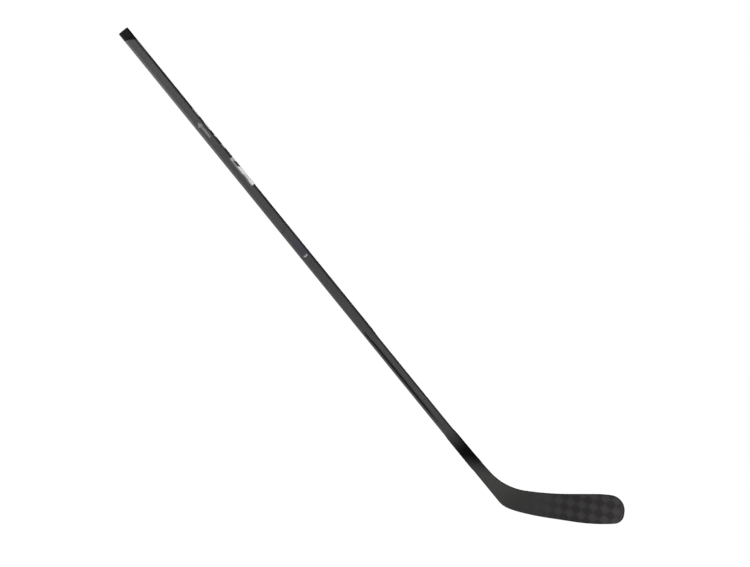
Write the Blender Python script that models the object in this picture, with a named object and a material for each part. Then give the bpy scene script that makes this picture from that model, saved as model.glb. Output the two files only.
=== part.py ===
"""Ice hockey stick: a hollow composite shaft, a moulded butt plug and a curved blade bonded to it.

The frame is the playing stance. The sole rests on z = 0, +X runs from the heel to the toe, the shaft
rises towards -X, and the forehand face looks along -Y. The origin is on the flat of the sole.
Lengths are in metres. The shaft has its own coordinates: q runs up its centre line from where that line
meets z = 0, t runs across its wide face towards the upper edge, and y is the frame's Y.
"""

import math

import bmesh
import bpy
from mathutils import Vector

# Shaft
SHAFT_RISE = math.radians(42.4)  # angle of the shaft above the ice
AXIS_FOOT_X = -0.1033  # where the shaft's centre line meets z = 0
BUTT_Q = 1.5533  # top of the butt plug
JOINT_Q = 0.181  # where the shaft tube ends and the blade begins
JOINT_GLUE = 0.0008  # glue line between the two, under the sleeve
SHAFT_WIDTH = 0.028
SHAFT_THICKNESS = 0.019
SHAFT_CORNER = 0.005
SHAFT_WALL = 0.0016
TAPER_IN = 0.0015  # the upper edge steps in by this on the flexing stretch above the blade
TAPER_STRETCH = (JOINT_Q, 0.300, 0.555, 0.585)  # start, full, full end, end
SCOOP_STRETCH = (0.296, 0.345, 0.530, 0.590)  # start, full, full end, end
SCOOP_DEPTH = 0.0016  # the lower corners drop back by this
SCOOP_BREAK_T = -0.0025  # where the wide face starts to fall away
SHAFT_STEPS = (6, 4, 3, 7, 6)  # sections from the joint to each of the scoop's marks, then to the plug

# Butt plug
PLUG_HEAD = 0.0245
PLUG_EDGE = 0.0022  # rounding of the head's top edge
PLUG_EDGE_STEPS = 3
PLUG_TONGUE = 0.055
PLUG_WALL = 0.002
PLUG_RIBS = 4
PLUG_RIB_HEIGHT = 0.0003
PLUG_RIB_PITCH = 0.011
PLUG_RIB_SLOPE = 0.0010  # length of each of a rib's ramps
PLUG_RIB_TOP = 0.0012

# Blade joint
TENON_LENGTH = 0.070  # inside the shaft
TENON_END_Q = 0.074  # the lower end, inside the blade's neck
TENON_CORNER = 0.0025
TENON_CHAMFER = 0.0015
TENON_WEDGE_STEPS = 3
SLEEVE_SPAN = (0.148, 0.261)
SLEEVE_WALL = 0.0006
SLEEVE_STEPS = 9

# Blade outline, in the X-Z plane
TOE_X = 0.1652
TOE_SIDE = 0.0068
TOE_LOWER_RADIUS = 0.026
TOE_UPPER_RADIUS = 0.037
SOLE_TOE_RADIUS = 0.4515
SOLE_TOE_TURN = math.radians(12.88)
SOLE_FLAT = 0.063
SOLE_HEEL_RADIUS = 0.700
SOLE_HEEL_TURN = math.radians(6.5)
SOLE_ROLL_RADIUS = 0.170  # where the sole rolls up into the heel
SOLE_ROLL_TURN = math.radians(9.5)
HEEL_RADIUS = 0.055
TOP_TOE_RADIUS = 0.240
TOP_SLOPE = math.radians(8.65)
TOP_STRAIGHT = 0.066
TOP_DIP_RADIUS = 0.755
THROAT_RADIUS = 0.146
THROAT_KNOT = math.radians(11.0)  # how far round the throat the heel's section meets it

# Blade thickness, curve and build
BLADE_THICK_HEEL = 0.0095
BLADE_THICK_TOE = 0.0054
BLADE_THIN_SPAN = (-0.150, 0.165)  # x, from the heel's thickness to the toe's
HOSEL_SPAN = (0.040, 0.181)  # q, from the blade's thickness to the shaft's
BLADE_CORNER = 0.0022
CURVE_START_X = -0.025
CURVE_DEPTH = 0.030  # the toe stands this far in front of the heel
TOE_LOFT = math.radians(7.0)  # the face opens by this at the toe
RIM_WIDTH = 0.0055
RIM_INSETS = (0.0, 0.0006, BLADE_CORNER, RIM_WIDTH)  # where the rim's rounding is sampled
LAMINATE = 0.0012
BRIDGE_HALF = 0.0015  # half the height of the rib between the foam cores
GAP = 0.0003  # clearance between separate pieces

SECTIONS_HOSEL = 10
SECTIONS_BLADE = 24
TOE_CROWDING = 0.9  # draws the sections together towards the toe
HEEL_U = 0.34  # share of the section fan that lies above the heel
END_BLEND = (0.78, 1.0)  # u, where straight sections give way to the toe's round end
HEEL_CORE_START = 0.24
HEEL_CORE_END = 0.412
BLADE_CORE_START = 0.415
ACROSS_STEPS = 12  # across a section, and round the toe's end
ARC_STEPS = 4
SHARP_ANGLE = math.radians(35.0)
PROBE = 0.001  # step used to find an edge's direction
TINY = 1e-6

# Printed films
LABEL = 0.0003
EMBLEM_SPAN = (1.209, 1.2565)
EMBLEM_T = (-0.0070, 0.0064)
BAND_SPAN = (0.824, 0.905)
BAND_SLANT = 0.006
EDGE_PANEL_SPAN = (1.049, 1.136)
EDGE_PANEL_REACH = 0.0030  # t of its borders on the wide faces
EDGE_MARKS_SPAN = (1.158, 1.2924)
SPEC_SPAN = (1.468, 1.514)
SIDE_FILM_HALF = 0.0040

UP = Vector((-math.cos(SHAFT_RISE), 0.0, math.sin(SHAFT_RISE)))
ACROSS = Vector((math.sin(SHAFT_RISE), 0.0, math.cos(SHAFT_RISE)))


def smooth(value, start, end):
    """0 before start, 1 after end, and a smooth step between them."""
    share = min(1.0, max(0.0, (value - start) / (end - start)))
    return share * share * (3.0 - 2.0 * share)


def on_shaft(q, t, y):
    """A point in the shaft's own coordinates, as a point in the frame."""
    return Vector((AXIS_FOOT_X, y, 0.0)) + UP * q + ACROSS * t


# ---------------------------------------------------------------- blade outline


def toe_mid_height():
    """Height of the toe's foremost point, which puts the flat of the sole on z = 0."""
    corner = TOE_LOWER_RADIUS * math.cos(SOLE_TOE_TURN)
    return TOE_SIDE + corner + SOLE_TOE_RADIUS * (1.0 - math.cos(SOLE_TOE_TURN))


class Path:
    """A smooth run of straights and arcs in the X-Z plane, which can be offset inwards exactly."""

    def __init__(self, start, heading, inside):
        self.start = start
        self.start_heading = heading
        self.inside = inside  # +1 when the blade lies to the left of the run, -1 when to the right
        self.segments = []  # (length, radius or None, turn)
        self.position = start
        self.heading = heading

    @property
    def length(self):
        return sum(segment[0] for segment in self.segments)

    def straight(self, length):
        self.segments.append((length, None, 0.0))
        self.position = self._after(self.position, self.heading, length, None, 0.0)

    def arc(self, radius, turn):
        self.segments.append((radius * abs(turn), radius, turn))
        self.position = self._after(self.position, self.heading, 0.0, radius, turn)
        self.heading += turn

    def arc_then_straight_to(self, radius, target):
        """Turns right on this radius until it faces the target, then runs straight to it."""
        centre = self.position - radius * self._left(self.heading)
        away = target - centre
        reach = math.sqrt(away.length_squared - radius * radius)
        facing = math.atan2(away.y, away.x) - math.atan2(radius, reach)
        turn = (facing - self.heading + math.pi) % (2.0 * math.pi) - math.pi
        self.arc(radius, turn)
        self.straight(reach)

    def at(self, distance, inset=0.0):
        """The point this far along the outline, moved inwards by inset."""
        position = self.start + self.inside * inset * self._left(self.start_heading)
        heading = self.start_heading
        for length, radius, turn in self.segments:
            share = min(1.0, distance / length)
            if radius is not None:
                centre_inside = (turn > 0.0) == (self.inside > 0.0)
                radius = radius - inset if centre_inside else radius + inset
            position = self._after(position, heading, share * length, radius, share * turn)
            heading += share * turn
            distance -= length
            if distance <= 0.0:
                break
        return position

    @staticmethod
    def _left(heading):
        return Vector((-math.sin(heading), math.cos(heading)))

    @classmethod
    def _after(cls, position, heading, length, radius, turn):
        if radius is None:
            return position + length * Vector((math.cos(heading), math.sin(heading)))
        side = 1.0 if turn > 0.0 else -1.0
        centre = position + side * radius * cls._left(heading)
        return centre - side * radius * cls._left(heading + turn)


def joint_corner(side):
    """The outline's end at the joint, on the shaft's lower (-1) or upper (+1) edge."""
    corner = on_shaft(JOINT_Q - JOINT_GLUE, side * SHAFT_WIDTH / 2.0, 0.0)
    return Vector((corner.x, corner.z))


def sole_path():
    """From the toe's foremost point down round the toe, along the sole and the heel to the joint."""
    path = Path(Vector((TOE_X, toe_mid_height())), -math.pi / 2.0, -1.0)
    path.straight(TOE_SIDE)
    path.arc(TOE_LOWER_RADIUS, -(math.pi / 2.0 - SOLE_TOE_TURN))
    path.arc(SOLE_TOE_RADIUS, -SOLE_TOE_TURN)
    path.straight(SOLE_FLAT)
    path.arc(SOLE_HEEL_RADIUS, -SOLE_HEEL_TURN)
    path.arc(SOLE_ROLL_RADIUS, -SOLE_ROLL_TURN)
    path.arc_then_straight_to(HEEL_RADIUS, joint_corner(-1.0))
    return path


def top_path():
    """From the toe's foremost point up round the toe, along the top edge and the throat to the joint."""
    path = Path(Vector((TOE_X, toe_mid_height())), math.pi / 2.0, 1.0)
    path.arc(TOE_UPPER_RADIUS, math.pi / 2.0)
    path.arc(TOP_TOE_RADIUS, TOP_SLOPE)
    path.straight(TOP_STRAIGHT)
    path.arc(TOP_DIP_RADIUS, -TOP_SLOPE)
    path.arc_then_straight_to(THROAT_RADIUS, joint_corner(1.0))
    return path


SOLE = sole_path()
TOP = top_path()
TOE_LOW_S = TOE_SIDE + 0.5 * SOLE.segments[1][0]  # middle of the toe's lower corner
TOE_HIGH_S = 0.5 * TOP.segments[0][0]  # middle of the toe's upper round
HEEL_S = sum(segment[0] for segment in SOLE.segments[:6]) + 0.5 * SOLE.segments[6][0]
THROAT_S = sum(segment[0] for segment in TOP.segments[:4]) + THROAT_RADIUS * THROAT_KNOT


def run_distance(u, toe, knot, joint):
    """Distance along a path for a section, which counts from the joint (u = 0) to the toe (u = 1)."""
    if u < HEEL_U:
        return joint + (knot - joint) * u / HEEL_U
    return knot + (toe - knot) * (u - HEEL_U) / (1.0 - HEEL_U)


def toe_end(v, inset):
    """The toe's round end, from its lower corner (v = 0) to its upper round (v = 1)."""
    along = v * (TOE_LOW_S + TOE_HIGH_S)
    if along < TOE_LOW_S:
        return SOLE.at(TOE_LOW_S - along, inset)
    return TOP.at(along - TOE_LOW_S, inset)


def planform(u, v, inset=0.0):
    """A point of the blade seen from the side: u from joint to toe, v from the sole to the top edge."""
    low = SOLE.at(run_distance(u, TOE_LOW_S, HEEL_S, SOLE.length), inset)
    high = TOP.at(run_distance(u, TOE_HIGH_S, THROAT_S, TOP.length), inset)
    bulge = toe_end(v, inset) - toe_end(0.0, inset).lerp(toe_end(1.0, inset), v)
    return low.lerp(high, v) + smooth(u, *END_BLEND) * bulge


def shaft_q(point):
    """How far up the shaft's centre line a point of the planform lies."""
    return Vector((point.x - AXIS_FOOT_X, 0.0, point.y)).dot(UP)


def half_thickness(point):
    """Half the blade's thickness at a point of the planform."""
    thin = BLADE_THICK_HEEL + (BLADE_THICK_TOE - BLADE_THICK_HEEL) * smooth(point.x, *BLADE_THIN_SPAN)
    return 0.5 * (thin + (SHAFT_THICKNESS - BLADE_THICK_HEEL) * smooth(shaft_q(point), *HOSEL_SPAN))


def corner_radius(point):
    """Radius of the blade's long edges at a point of the planform."""
    return BLADE_CORNER + (SHAFT_CORNER - BLADE_CORNER) * smooth(shaft_q(point), *HOSEL_SPAN)


def curve(point):
    """Y of the blade's middle surface: it hooks forward to the toe, and opens as it goes."""
    share = max(0.0, (point.x - CURVE_START_X) / (TOE_X - CURVE_START_X))
    return -CURVE_DEPTH * share * share + point.y * math.tan(TOE_LOFT) * share * share


def on_blade(point, side_offset):
    return Vector((point.x, curve(point) + side_offset, point.y))


# ---------------------------------------------------------------- mesh helpers


def material(name, colour, roughness):
    made = bpy.data.materials.new(name)
    made.use_nodes = True
    shader = made.node_tree.nodes["Principled BSDF"]
    shader.inputs["Base Color"].default_value = (*colour, 1.0)
    shader.inputs["Roughness"].default_value = roughness
    return made


def finish_mesh(name, bm, look, parent):
    bmesh.ops.recalc_face_normals(bm, faces=bm.faces)
    mesh = bpy.data.meshes.new(name)
    bm.to_mesh(mesh)
    bm.free()
    mesh.materials.append(look)
    mesh.shade_smooth()
    mesh.set_sharp_from_angle(angle=SHARP_ANGLE)
    made = bpy.data.objects.new(name, mesh)
    made.parent = parent
    bpy.context.scene.collection.objects.link(made)
    return made


def loft(name, rings, look, parent, closed=False, strips=False):
    """A solid through rings of points.

    Closed joins the last ring to the first, as round a tube's wall. Strips caps each end with a row of
    quads, for rings that run out along one side and back along the other.
    """
    bm = bmesh.new()
    loops = [[bm.verts.new(point) for point in ring] for ring in rings]
    pairs = list(zip(loops, loops[1:]))
    if closed:
        pairs.append((loops[-1], loops[0]))
    for below, above in pairs:
        for i in range(len(below)):
            j = (i + 1) % len(below)
            bm.faces.new((below[i], below[j], above[j], above[i]))
    for end in () if closed else (loops[0], loops[-1]):
        if strips:
            for i in range(len(end) // 2 - 1):
                bm.faces.new((end[i], end[i + 1], end[-2 - i], end[-1 - i]))
        else:
            bm.faces.new(end)
    return finish_mesh(name, bm, look, parent)


def rounded_section(low, high, half, corner):
    """Corner points (t, y) of a rounded rectangle, anticlockwise from the upper edge's forehand corner."""
    points = []
    for quarter in range(4):
        centre_t = (high - corner) if quarter in (0, 3) else (low + corner)
        centre_y = (half - corner) if quarter in (0, 1) else (corner - half)
        for step in range(ARC_STEPS + 1):
            angle = (quarter + step / ARC_STEPS) * math.pi / 2.0
            points.append((centre_t + corner * math.cos(angle), centre_y + corner * math.sin(angle)))
    return points


def between(q, stretch):
    """0 outside a stretch of the shaft, 1 in its middle, with smooth ends."""
    start, full, full_end, end = stretch
    return smooth(q, start, full) - smooth(q, full_end, end)


def shaft_edges(q):
    """Lower and upper edge (t) of the wide face."""
    return -SHAFT_WIDTH / 2.0, SHAFT_WIDTH / 2.0 - TAPER_IN * between(q, TAPER_STRETCH)


def shaft_section(q, grow=0.0):
    """The shaft's outside at q as (t, y), with the scooped lower corners, grown outwards by grow."""
    low, high = shaft_edges(q)
    half = SHAFT_THICKNESS / 2.0 + grow
    points = []
    for t, y in rounded_section(low - grow, high + grow, half, SHAFT_CORNER + grow):
        fall = max(0.0, (SCOOP_BREAK_T - t) / (SCOOP_BREAK_T - low - SHAFT_CORNER))
        drop = SCOOP_DEPTH * between(q, SCOOP_STRETCH) * min(1.0, fall)
        points.append((t, math.copysign(max(0.0, abs(y) - drop), y)))
    # The two points where the wide faces start to fall away, between the corner arcs.
    points.insert(2 * (ARC_STEPS + 1) + ARC_STEPS + 1, (SCOOP_BREAK_T, -half))
    points.insert(ARC_STEPS + 1, (SCOOP_BREAK_T, half))
    return points


def ring_at(q, section):
    return [on_shaft(q, t, y) for t, y in section]


# ---------------------------------------------------------------- shaft pieces


def shaft_stations():
    """Stations from the joint to the plug, close together where the section changes."""
    ends = [JOINT_Q, *SCOOP_STRETCH, BUTT_Q - PLUG_HEAD - GAP]
    stations = [JOINT_Q]
    for start, end, steps in zip(ends, ends[1:], SHAFT_STEPS):
        stations += [start + (end - start) * (i + 1) / steps for i in range(steps)]
    return stations


def shaft_tube(look, parent):
    stations = shaft_stations()
    outside = [ring_at(q, shaft_section(q)) for q in stations]
    bore = []
    for q in reversed(stations):
        bore.append(ring_at(q, shaft_section(q, -SHAFT_WALL)))
    return loft("shaft_tube", outside + bore, look, parent, closed=True)


def plain_section(grow):
    """The full shaft's plain section, grown outwards by grow."""
    half_width = SHAFT_WIDTH / 2.0 + grow
    return rounded_section(-half_width, half_width, SHAFT_THICKNESS / 2.0 + grow, SHAFT_CORNER + grow)


def butt_plug(look, parent):
    """A moulded head that closes the tube, and a hollow ribbed tongue inside it, open at its foot."""
    shoulder = BUTT_Q - PLUG_HEAD
    foot = shoulder - PLUG_TONGUE
    tongue = plain_section(-SHAFT_WALL - GAP - PLUG_RIB_HEIGHT)
    rib = plain_section(-SHAFT_WALL - GAP)
    cavity = plain_section(-SHAFT_WALL - GAP - PLUG_RIB_HEIGHT - PLUG_WALL)
    rings = [ring_at(shoulder - PLUG_WALL, cavity), ring_at(foot, cavity), ring_at(foot, tongue)]
    for i in range(PLUG_RIBS):
        q = foot + PLUG_RIB_PITCH * (i + 0.5)
        rings.append(ring_at(q, tongue))
        rings.append(ring_at(q + PLUG_RIB_SLOPE, rib))
        rings.append(ring_at(q + PLUG_RIB_SLOPE + PLUG_RIB_TOP, rib))
        rings.append(ring_at(q + 2.0 * PLUG_RIB_SLOPE + PLUG_RIB_TOP, tongue))
    rings += [ring_at(shoulder, tongue), ring_at(shoulder, plain_section(0.0))]
    for step in range(PLUG_EDGE_STEPS + 1):
        angle = step / PLUG_EDGE_STEPS * math.pi / 2.0
        q = BUTT_Q - PLUG_EDGE * (1.0 - math.sin(angle))
        rings.append(ring_at(q, plain_section(-PLUG_EDGE * (1.0 - math.cos(angle)))))
    return loft("butt_end_plug", rings, look, parent)


def hosel_edges(q):
    """The blade outline's lower and upper edge (t) where a plane across the shaft at q meets them."""
    edges = []
    for path, side in ((SOLE, -1.0), (TOP, 1.0)):
        line = path.at(path.length - PROBE) - path.at(path.length)
        direction = Vector((line.x, 0.0, line.y))
        slope = direction.dot(ACROSS) / direction.dot(UP)
        edges.append(side * SHAFT_WIDTH / 2.0 + slope * (q - JOINT_Q + JOINT_GLUE))
    return edges


def hosel_half(q):
    """Half the neck's thickness where the centre line passes q."""
    axis = on_shaft(q, 0.0, 0.0)
    return half_thickness(Vector((axis.x, axis.z)))


def fusion_sleeve(look, parent):
    """A thin wrap bonded over the joint, half on the shaft tube and half on the blade's neck."""
    start, end = SLEEVE_SPAN
    stations = [start + (end - start) * i / SLEEVE_STEPS for i in range(SLEEVE_STEPS + 1)]

    def section(q, grow):
        low, high = shaft_edges(q) if q >= JOINT_Q else hosel_edges(q)
        half = SHAFT_THICKNESS / 2.0 if q >= JOINT_Q else hosel_half(q)
        return rounded_section(low - grow, high + grow, half + grow, SHAFT_CORNER + grow)

    outside = [ring_at(q, section(q, GAP + SLEEVE_WALL)) for q in stations]
    inside = [ring_at(q, section(q, GAP)) for q in reversed(stations)]
    return loft("fusion_sleeve", outside + inside, look, parent, closed=True)


def tenon_insert(look, parent):
    """The tongue that fills the shaft's foot, and the wedge below it that fills the blade's neck."""
    top = JOINT_Q + TENON_LENGTH
    bore_clear = SHAFT_WALL + 2.0 * GAP
    low = bore_clear - SHAFT_WIDTH / 2.0
    high = SHAFT_WIDTH / 2.0 - bore_clear
    high_top = high - TAPER_IN * between(top, TAPER_STRETCH)
    tongue_half = SHAFT_THICKNESS / 2.0 - bore_clear
    cut = TENON_CHAMFER

    def wedge(q):
        edge_low, edge_high = hosel_edges(q)
        inset = RIM_WIDTH + GAP
        half = min(tongue_half, hosel_half(q) - LAMINATE - 2.0 * GAP)
        return rounded_section(edge_low + inset, edge_high - inset, half, TENON_CORNER)

    rings = []
    for i in range(TENON_WEDGE_STEPS + 1):
        q = TENON_END_Q + (JOINT_Q - TENON_END_Q) * i / TENON_WEDGE_STEPS
        rings.append(ring_at(q, wedge(q)))
    rings.append(ring_at(JOINT_Q, rounded_section(low, high, tongue_half, TENON_CORNER)))
    rings.append(ring_at(top - cut, rounded_section(low, high_top, tongue_half, TENON_CORNER)))
    end = rounded_section(low + cut, high_top - cut, tongue_half - cut, TENON_CORNER - cut)
    rings.append(ring_at(top, end))
    return loft("tenon_insert", rings, look, parent)


# ---------------------------------------------------------------- blade pieces


def section_shares(start=0.0, end=1.0):
    """The u of each section, from the joint to the toe, closer together round the toe."""
    fan = [HEEL_U * i / SECTIONS_HOSEL for i in range(SECTIONS_HOSEL)]
    blade = []
    for i in range(SECTIONS_BLADE + 1):
        share = math.sin(0.5 * math.pi * i / SECTIONS_BLADE) ** TOE_CROWDING
        blade.append(HEEL_U + (1.0 - HEEL_U) * share)
    shares = sorted(fan + blade + [HEEL_CORE_END, BLADE_CORE_START])
    return [u for u in shares if start <= u <= end]


def slab(name, us, v_limits, near, far, look, parent, v_margin=0.0):
    """A slab of the blade's inside between the sections us.

    near and far give its two faces' Y from half the blade's thickness. The margin pulls in the ends of
    v_limits that lie inside the blade.
    """
    inset = RIM_WIDTH + GAP
    v_low, v_high = v_limits
    inner = [i / ACROSS_STEPS for i in range(1, ACROSS_STEPS)]
    inner = [v for v in inner if v_low + TINY < v < v_high - TINY]
    rings = []
    for u in us:
        height = (planform(u, 1.0, inset) - planform(u, 0.0, inset)).length
        low = v_low + (v_margin / height if v_low > 0.0 else 0.0)
        high = v_high - (v_margin / height if v_high < 1.0 else 0.0)
        near_row, far_row = [], []
        for v in [low] + inner + [high]:
            point = planform(u, v, inset)
            half = half_thickness(point)
            near_row.append(on_blade(point, near(half)))
            far_row.append(on_blade(point, far(half)))
        rings.append(near_row + far_row[::-1])
    return loft(name, rings, look, parent, strips=True)


def face_laminate(name, side, look, parent):
    """One carbon face, let in between the rim."""

    def outside(half):
        return side * half

    def inside(half):
        return side * (half - LAMINATE)

    slab(name, section_shares(), (0.0, 1.0), outside, inside, look, parent)


def rim_profile(distance, radius, half):
    """Half the rim's thickness this far in from its outside, rounded over by radius."""
    short = max(0.0, radius - distance)
    return half - radius + math.sqrt(radius * radius - short * short)


def blade_rim(look, parent):
    """The border that closes the blade all round, from the joint along the sole, toe and top edge."""
    us = section_shares()
    stations = [(SOLE, run_distance(u, TOE_LOW_S, HEEL_S, SOLE.length)) for u in us]
    for i in range(1, ACROSS_STEPS):
        along = i / ACROSS_STEPS * (TOE_LOW_S + TOE_HIGH_S)
        if along < TOE_LOW_S:
            stations.append((SOLE, TOE_LOW_S - along))
        else:
            stations.append((TOP, along - TOE_LOW_S))
    stations += [(TOP, run_distance(u, TOE_HIGH_S, THROAT_S, TOP.length)) for u in reversed(us)]
    rings = []
    for path, distance in stations:
        outer = path.at(distance)
        half = half_thickness(outer)
        radius = corner_radius(outer)
        ring = []
        for side, order in ((-1.0, RIM_INSETS), (1.0, reversed(RIM_INSETS))):
            for inset in order:
                point = path.at(distance, inset)
                thick = half_thickness(point) - half + rim_profile(inset, radius, half)
                ring.append(on_blade(point, side * thick))
        rings.append(ring)
    return loft("blade_edge_rim", rings, look, parent)


def core(name, us, v_limits, look, parent, v_margin=0.0):
    """A filling between the laminates."""

    def forehand(half):
        return LAMINATE + GAP - half

    def backhand(half):
        return half - LAMINATE - GAP

    slab(name, us, v_limits, forehand, backhand, look, parent, v_margin)


def blade_cores(foam, rib, parent):
    core("heel_core", section_shares(HEEL_CORE_START, HEEL_CORE_END), (0.0, 1.0), foam, parent)
    shares = section_shares(BLADE_CORE_START)
    core("lower_foam_core", shares, (0.0, 0.5), foam, parent, BRIDGE_HALF + GAP)
    core("upper_foam_core", shares, (0.5, 1.0), foam, parent, BRIDGE_HALF + GAP)
    core("core_bridge", shares, (0.5, 0.5), rib, parent, -BRIDGE_HALF)


# ---------------------------------------------------------------- labels


def face_label(name, side, span, t_span, slant, look, parent):
    """A thin film on a wide face. Slant leans its two ends over."""
    start, end = span
    low, high = t_span
    outline = [(start, low), (end, low), (end + slant, high), (start + slant, high)]
    inner = side * (SHAFT_THICKNESS / 2.0 + GAP)
    outer = side * (SHAFT_THICKNESS / 2.0 + GAP + LABEL)
    rings = [[on_shaft(q, t, y) for q, t in outline] for y in (inner, outer)]
    return loft(name, rings, look, parent)


def edge_label(name, span, look, parent):
    """A thin film on the flat of the upper narrow side."""
    start, end = span
    half = SIDE_FILM_HALF
    outline = [(start, -half), (end, -half), (end, half), (start, half)]
    rings = []
    for t in (SHAFT_WIDTH / 2.0 + GAP, SHAFT_WIDTH / 2.0 + GAP + LABEL):
        rings.append([on_shaft(q, t, y) for q, y in outline])
    return loft(name, rings, look, parent)


def edge_panel(look, parent):
    """A film that wraps the upper narrow side and comes some way down both wide faces."""
    half = SHAFT_THICKNESS / 2.0

    def contour(grow):
        section = plain_section(grow)
        forehand = section[3 * (ARC_STEPS + 1):]
        backhand = section[:ARC_STEPS + 1]
        return [(EDGE_PANEL_REACH, -half - grow)] + forehand + backhand + [(EDGE_PANEL_REACH, half + grow)]

    profile = contour(GAP + LABEL) + contour(GAP)[::-1]
    rings = [ring_at(q, profile) for q in EDGE_PANEL_SPAN]
    return loft("edge_panel", rings, look, parent, strips=True)


def printed_films(parent):
    white = material("label_white", (0.800, 0.800, 0.800), 0.50)
    grey = material("label_grey", (0.220, 0.210, 0.215), 0.50)
    blue = material("label_blue_black", (0.055, 0.052, 0.075), 0.45)
    dark = material("label_dark", (0.040, 0.040, 0.042), 0.45)
    flat = SHAFT_WIDTH / 2.0 - SHAFT_CORNER
    for name, side in (("forehand", -1.0), ("backhand", 1.0)):
        face_label(name + "_emblem", side, EMBLEM_SPAN, EMBLEM_T, 0.0, grey, parent)
        face_label(name + "_band", side, BAND_SPAN, (-flat, flat), BAND_SLANT, blue, parent)
    edge_panel(white, parent)
    edge_label("edge_bar_label", EDGE_MARKS_SPAN, dark, parent)
    edge_label("spec_label", SPEC_SPAN, grey, parent)


# ---------------------------------------------------------------- assembly


def clear_scene():
    for old in list(bpy.data.objects):
        bpy.data.objects.remove(old)


def empty(name):
    made = bpy.data.objects.new(name, None)
    bpy.context.scene.collection.objects.link(made)
    return made


def build():
    clear_scene()
    shaft = empty("shaft_assembly")
    blade = empty("blade_assembly")
    labels = empty("labels")
    blade.parent = shaft
    labels.parent = shaft

    carbon = material("shaft_carbon", (0.060, 0.060, 0.062), 0.45)
    moulded = material("plug_plastic", (0.015, 0.015, 0.016), 0.55)
    wrap = material("sleeve_wrap", (0.012, 0.012, 0.013), 0.35)
    weave = material("blade_carbon", (0.042, 0.041, 0.042), 0.40)
    edging = material("edge_carbon", (0.030, 0.030, 0.030), 0.50)
    insert = material("tenon_composite", (0.025, 0.025, 0.026), 0.60)
    foam = material("core_foam", (0.720, 0.680, 0.560), 0.90)
    bridge = material("bridge_carbon", (0.028, 0.028, 0.030), 0.55)

    shaft_tube(carbon, shaft)
    butt_plug(moulded, shaft)
    fusion_sleeve(wrap, shaft)
    tenon_insert(insert, blade)
    face_laminate("forehand_laminate", -1.0, weave, blade)
    face_laminate("backhand_laminate", 1.0, weave, blade)
    blade_rim(edging, blade)
    blade_cores(foam, bridge, blade)
    printed_films(labels)


build()
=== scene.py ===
"""The ice hockey stick's fine surfaces, finishes and labels, with its stage, light and camera."""

import math

import bmesh
import bpy
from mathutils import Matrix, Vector


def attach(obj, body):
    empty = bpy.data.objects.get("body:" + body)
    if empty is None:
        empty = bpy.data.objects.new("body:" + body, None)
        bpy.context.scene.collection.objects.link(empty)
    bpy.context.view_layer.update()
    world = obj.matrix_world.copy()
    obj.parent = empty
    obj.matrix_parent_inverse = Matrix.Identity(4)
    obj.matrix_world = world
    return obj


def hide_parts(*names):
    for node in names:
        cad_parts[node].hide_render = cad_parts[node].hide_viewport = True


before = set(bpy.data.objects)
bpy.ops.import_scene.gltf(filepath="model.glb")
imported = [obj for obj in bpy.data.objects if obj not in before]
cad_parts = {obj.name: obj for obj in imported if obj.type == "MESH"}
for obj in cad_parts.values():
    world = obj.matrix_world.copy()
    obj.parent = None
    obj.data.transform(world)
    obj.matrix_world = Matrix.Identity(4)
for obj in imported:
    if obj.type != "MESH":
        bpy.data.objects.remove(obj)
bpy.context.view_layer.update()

# ---------------------------------------------------------------- dimensions (metres), as in the CAD

SHAFT_RISE = math.radians(42.4)  # angle of the shaft above the ice
AXIS_FOOT_X = -0.1033  # where the shaft's centre line meets z = 0
BUTT_Q = 1.5533  # top of the butt plug
JOINT_Q = 0.181  # where the shaft tube ends and the blade begins
JOINT_GLUE = 0.0008  # glue line between the two, under the sleeve
SHAFT_WIDTH = 0.028
SHAFT_THICKNESS = 0.019
SHAFT_CORNER = 0.005
SHAFT_WALL = 0.0016
TAPER_IN = 0.0015  # the upper edge steps in by this on the flexing stretch above the blade
TAPER_STRETCH = (JOINT_Q, 0.300, 0.555, 0.585)  # start, full, full end, end
SCOOP_STRETCH = (0.296, 0.345, 0.530, 0.590)  # start, full, full end, end
SCOOP_DEPTH = 0.0016  # the lower corners drop back by this
SCOOP_BREAK_T = -0.0025  # where the wide face starts to fall away
PLUG_HEAD = 0.0245
PLUG_EDGE = 0.0022  # rounding of the head's top edge
PLUG_TONGUE = 0.055
SLEEVE_SPAN = (0.148, 0.261)
SLEEVE_GROW = 0.0009  # how far its middle stands proud of the tube
TOE_X = 0.1652
TOE_SIDE = 0.0068
TOE_LOWER_RADIUS = 0.026
TOE_UPPER_RADIUS = 0.037
SOLE_TOE_RADIUS = 0.4515
SOLE_TOE_TURN = math.radians(12.88)
SOLE_FLAT = 0.063
SOLE_HEEL_RADIUS = 0.700
SOLE_HEEL_TURN = math.radians(6.5)
SOLE_ROLL_RADIUS = 0.170  # where the sole rolls up into the heel
SOLE_ROLL_TURN = math.radians(9.5)
HEEL_RADIUS = 0.055
TOP_TOE_RADIUS = 0.240
TOP_SLOPE = math.radians(8.65)
TOP_STRAIGHT = 0.066
TOP_DIP_RADIUS = 0.755
THROAT_RADIUS = 0.146
THROAT_KNOT = math.radians(11.0)  # how far round the throat the heel's section meets it
BLADE_THICK_HEEL = 0.0095
BLADE_THICK_TOE = 0.0054
BLADE_THIN_SPAN = (-0.150, 0.165)  # x, from the heel's thickness to the toe's
HOSEL_SPAN = (0.040, 0.181)  # q, from the blade's thickness to the shaft's
BLADE_CORNER = 0.0022
CURVE_START_X = -0.025
CURVE_DEPTH = 0.030  # the toe stands this far in front of the heel
TOE_LOFT = math.radians(7.0)  # the face opens by this at the toe
HEEL_U = 0.34  # share of the section fan that lies above the heel
END_BLEND = (0.78, 1.0)  # u, where straight sections give way to the toe's round end
TOE_CROWDING = 0.9  # draws the sections together towards the toe
PROBE = 0.001  # step used to find an edge's direction

# ---------------------------------------------------------------- dimensions of the fine surfaces

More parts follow.
